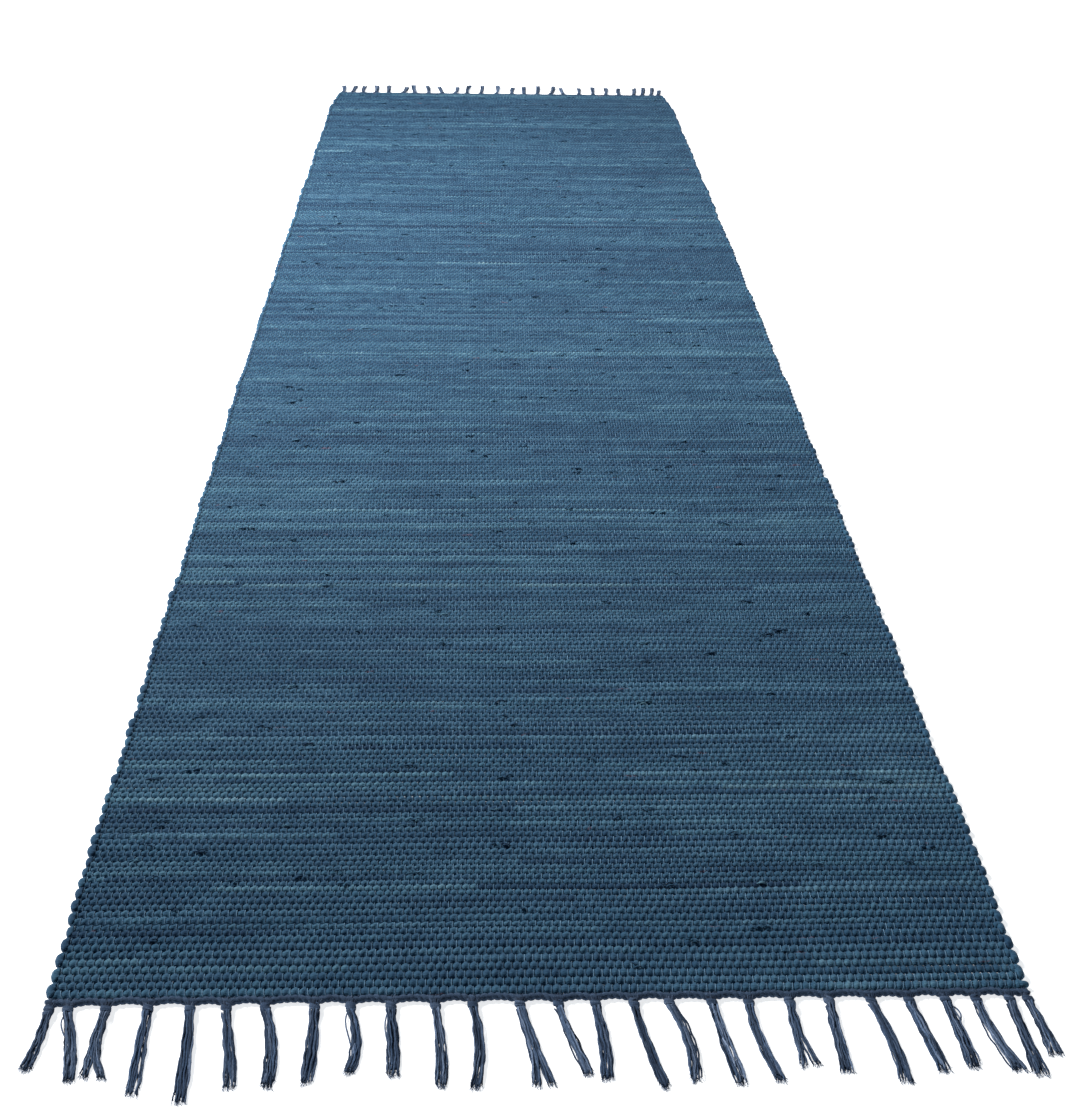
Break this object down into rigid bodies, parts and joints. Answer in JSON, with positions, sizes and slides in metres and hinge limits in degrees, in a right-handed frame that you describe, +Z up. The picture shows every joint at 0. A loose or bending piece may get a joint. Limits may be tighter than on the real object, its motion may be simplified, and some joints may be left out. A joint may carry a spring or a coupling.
{
  "type": "runner rug",
  "caption": "Long narrow hand-woven cotton rag rug lying flat, plain weave in mixed blues, with knotted tassel fringe at both ends.",
  "frame": {"origin": "on the floor under the middle of the rug, fringes included", "axes": "+Y along the rug's length from the near end to the far end, +X across it to the right, +Z up"},
  "size_m": [0.709, 2.676, 0.0065],
  "materials": {
    "rag_weft": "matt cotton rag weft in mixed navy, teal and slate blue, with blue-grey warp threads",
    "heading_cotton": "matt twined cotton cord, dark navy",
    "tassel_cotton": "matt cotton warp threads, greyish blue, loosely twisted and frayed"
  },
  "bodies": {
    "near_half": {"near_field": "rag_weft", "near_heading_cord": "heading_cotton"},
    "fold_strip_1": {"fold_row_1": "rag_weft"},
    "fold_strip_2": {"fold_row_2": "rag_weft"},
    "fold_strip_3": {"fold_row_3": "rag_weft"},
    "fold_strip_4": {"fold_row_4": "rag_weft"},
    "far_half": {"far_field": "rag_weft", "far_heading_cord": "heading_cotton"},
    "near_fringe": {"near_tassel_01": "tassel_cotton", "near_tassel_02": "tassel_cotton", "near_tassel_03": "tassel_cotton", "near_tassel_04": "tassel_cotton", "near_tassel_05": "tassel_cotton", "near_tassel_06": "tassel_cotton", "near_tassel_07": "tassel_cotton", "near_tassel_08": "tassel_cotton", "near_tassel_09": "tassel_cotton", "near_tassel_10": "tassel_cotton", "near_tassel_11": "tassel_cotton", "near_tassel_12": "tassel_cotton", "near_tassel_13": "tassel_cotton", "near_tassel_14": "tassel_cotton", "near_tassel_15": "tassel_cotton", "near_tassel_16": "tassel_cotton", "near_tassel_17": "tassel_cotton", "near_tassel_18": "tassel_cotton", "near_tassel_19": "tassel_cotton", "near_tassel_20": "tassel_cotton", "near_tassel_21": "tassel_cotton", "near_tassel_22": "tassel_cotton", "near_tassel_23": "tassel_cotton", "near_tassel_24": "tassel_cotton", "near_tassel_25": "tassel_cotton", "near_tassel_26": "tassel_cotton"},
    "far_fringe": {"far_tassel_01": "tassel_cotton", "far_tassel_02": "tassel_cotton", "far_tassel_03": "tassel_cotton", "far_tassel_04": "tassel_cotton", "far_tassel_05": "tassel_cotton", "far_tassel_06": "tassel_cotton", "far_tassel_07": "tassel_cotton", "far_tassel_08": "tassel_cotton", "far_tassel_09": "tassel_cotton", "far_tassel_10": "tassel_cotton", "far_tassel_11": "tassel_cotton", "far_tassel_12": "tassel_cotton", "far_tassel_13": "tassel_cotton", "far_tassel_14": "tassel_cotton", "far_tassel_15": "tassel_cotton", "far_tassel_16": "tassel_cotton", "far_tassel_17": "tassel_cotton", "far_tassel_18": "tassel_cotton", "far_tassel_19": "tassel_cotton", "far_tassel_20": "tassel_cotton", "far_tassel_21": "tassel_cotton", "far_tassel_22": "tassel_cotton", "far_tassel_23": "tassel_cotton", "far_tassel_24": "tassel_cotton", "far_tassel_25": "tassel_cotton", "far_tassel_26": "tassel_cotton"}
  },
  "joints": [
    {"name": "fold_in_half", "type": "hinge", "parent": "near_half", "child": "far_half", "pos_m": [0, 0, 0.01433], "axis": [1, 0, 0], "range_deg": [0, 180]},
    {"name": "fold_1", "type": "hinge", "parent": "near_half", "child": "fold_strip_1", "pos_m": [0, -0.00935, 0.0068], "axis": [1, 0, 0], "range_deg": [0, 45]},
    {"name": "fold_2", "type": "hinge", "parent": "fold_strip_1", "child": "fold_strip_2", "pos_m": [0, -0.00312, 0.0068], "axis": [1, 0, 0], "range_deg": [0, 45]},
    {"name": "fold_3", "type": "hinge", "parent": "fold_strip_2", "child": "fold_strip_3", "pos_m": [0, 0.00312, 0.0068], "axis": [1, 0, 0], "range_deg": [0, 45]},
    {"name": "fold_4", "type": "hinge", "parent": "fold_strip_3", "child": "fold_strip_4", "pos_m": [0, 0.00935, 0.0068], "axis": [1, 0, 0], "range_deg": [0, 45]},
    {"name": "near_fringe_flip", "type": "hinge", "parent": "near_half", "child": "near_fringe", "pos_m": [0, -1.256, 0.007], "axis": [-1, 0, 0], "range_deg": [0, 180]},
    {"name": "far_fringe_flip", "type": "hinge", "parent": "far_half", "child": "far_fringe", "pos_m": [0, 1.256, 0.007], "axis": [1, 0, 0], "range_deg": [0, 180]}
  ],
  "couplings": [
    {"joint": "fold_1", "follows": "fold_in_half", "ratio": 0.25},
    {"joint": "fold_2", "follows": "fold_in_half", "ratio": 0.25},
    {"joint": "fold_3", "follows": "fold_in_half", "ratio": 0.25},
    {"joint": "fold_4", "follows": "fold_in_half", "ratio": 0.25}
  ]
}
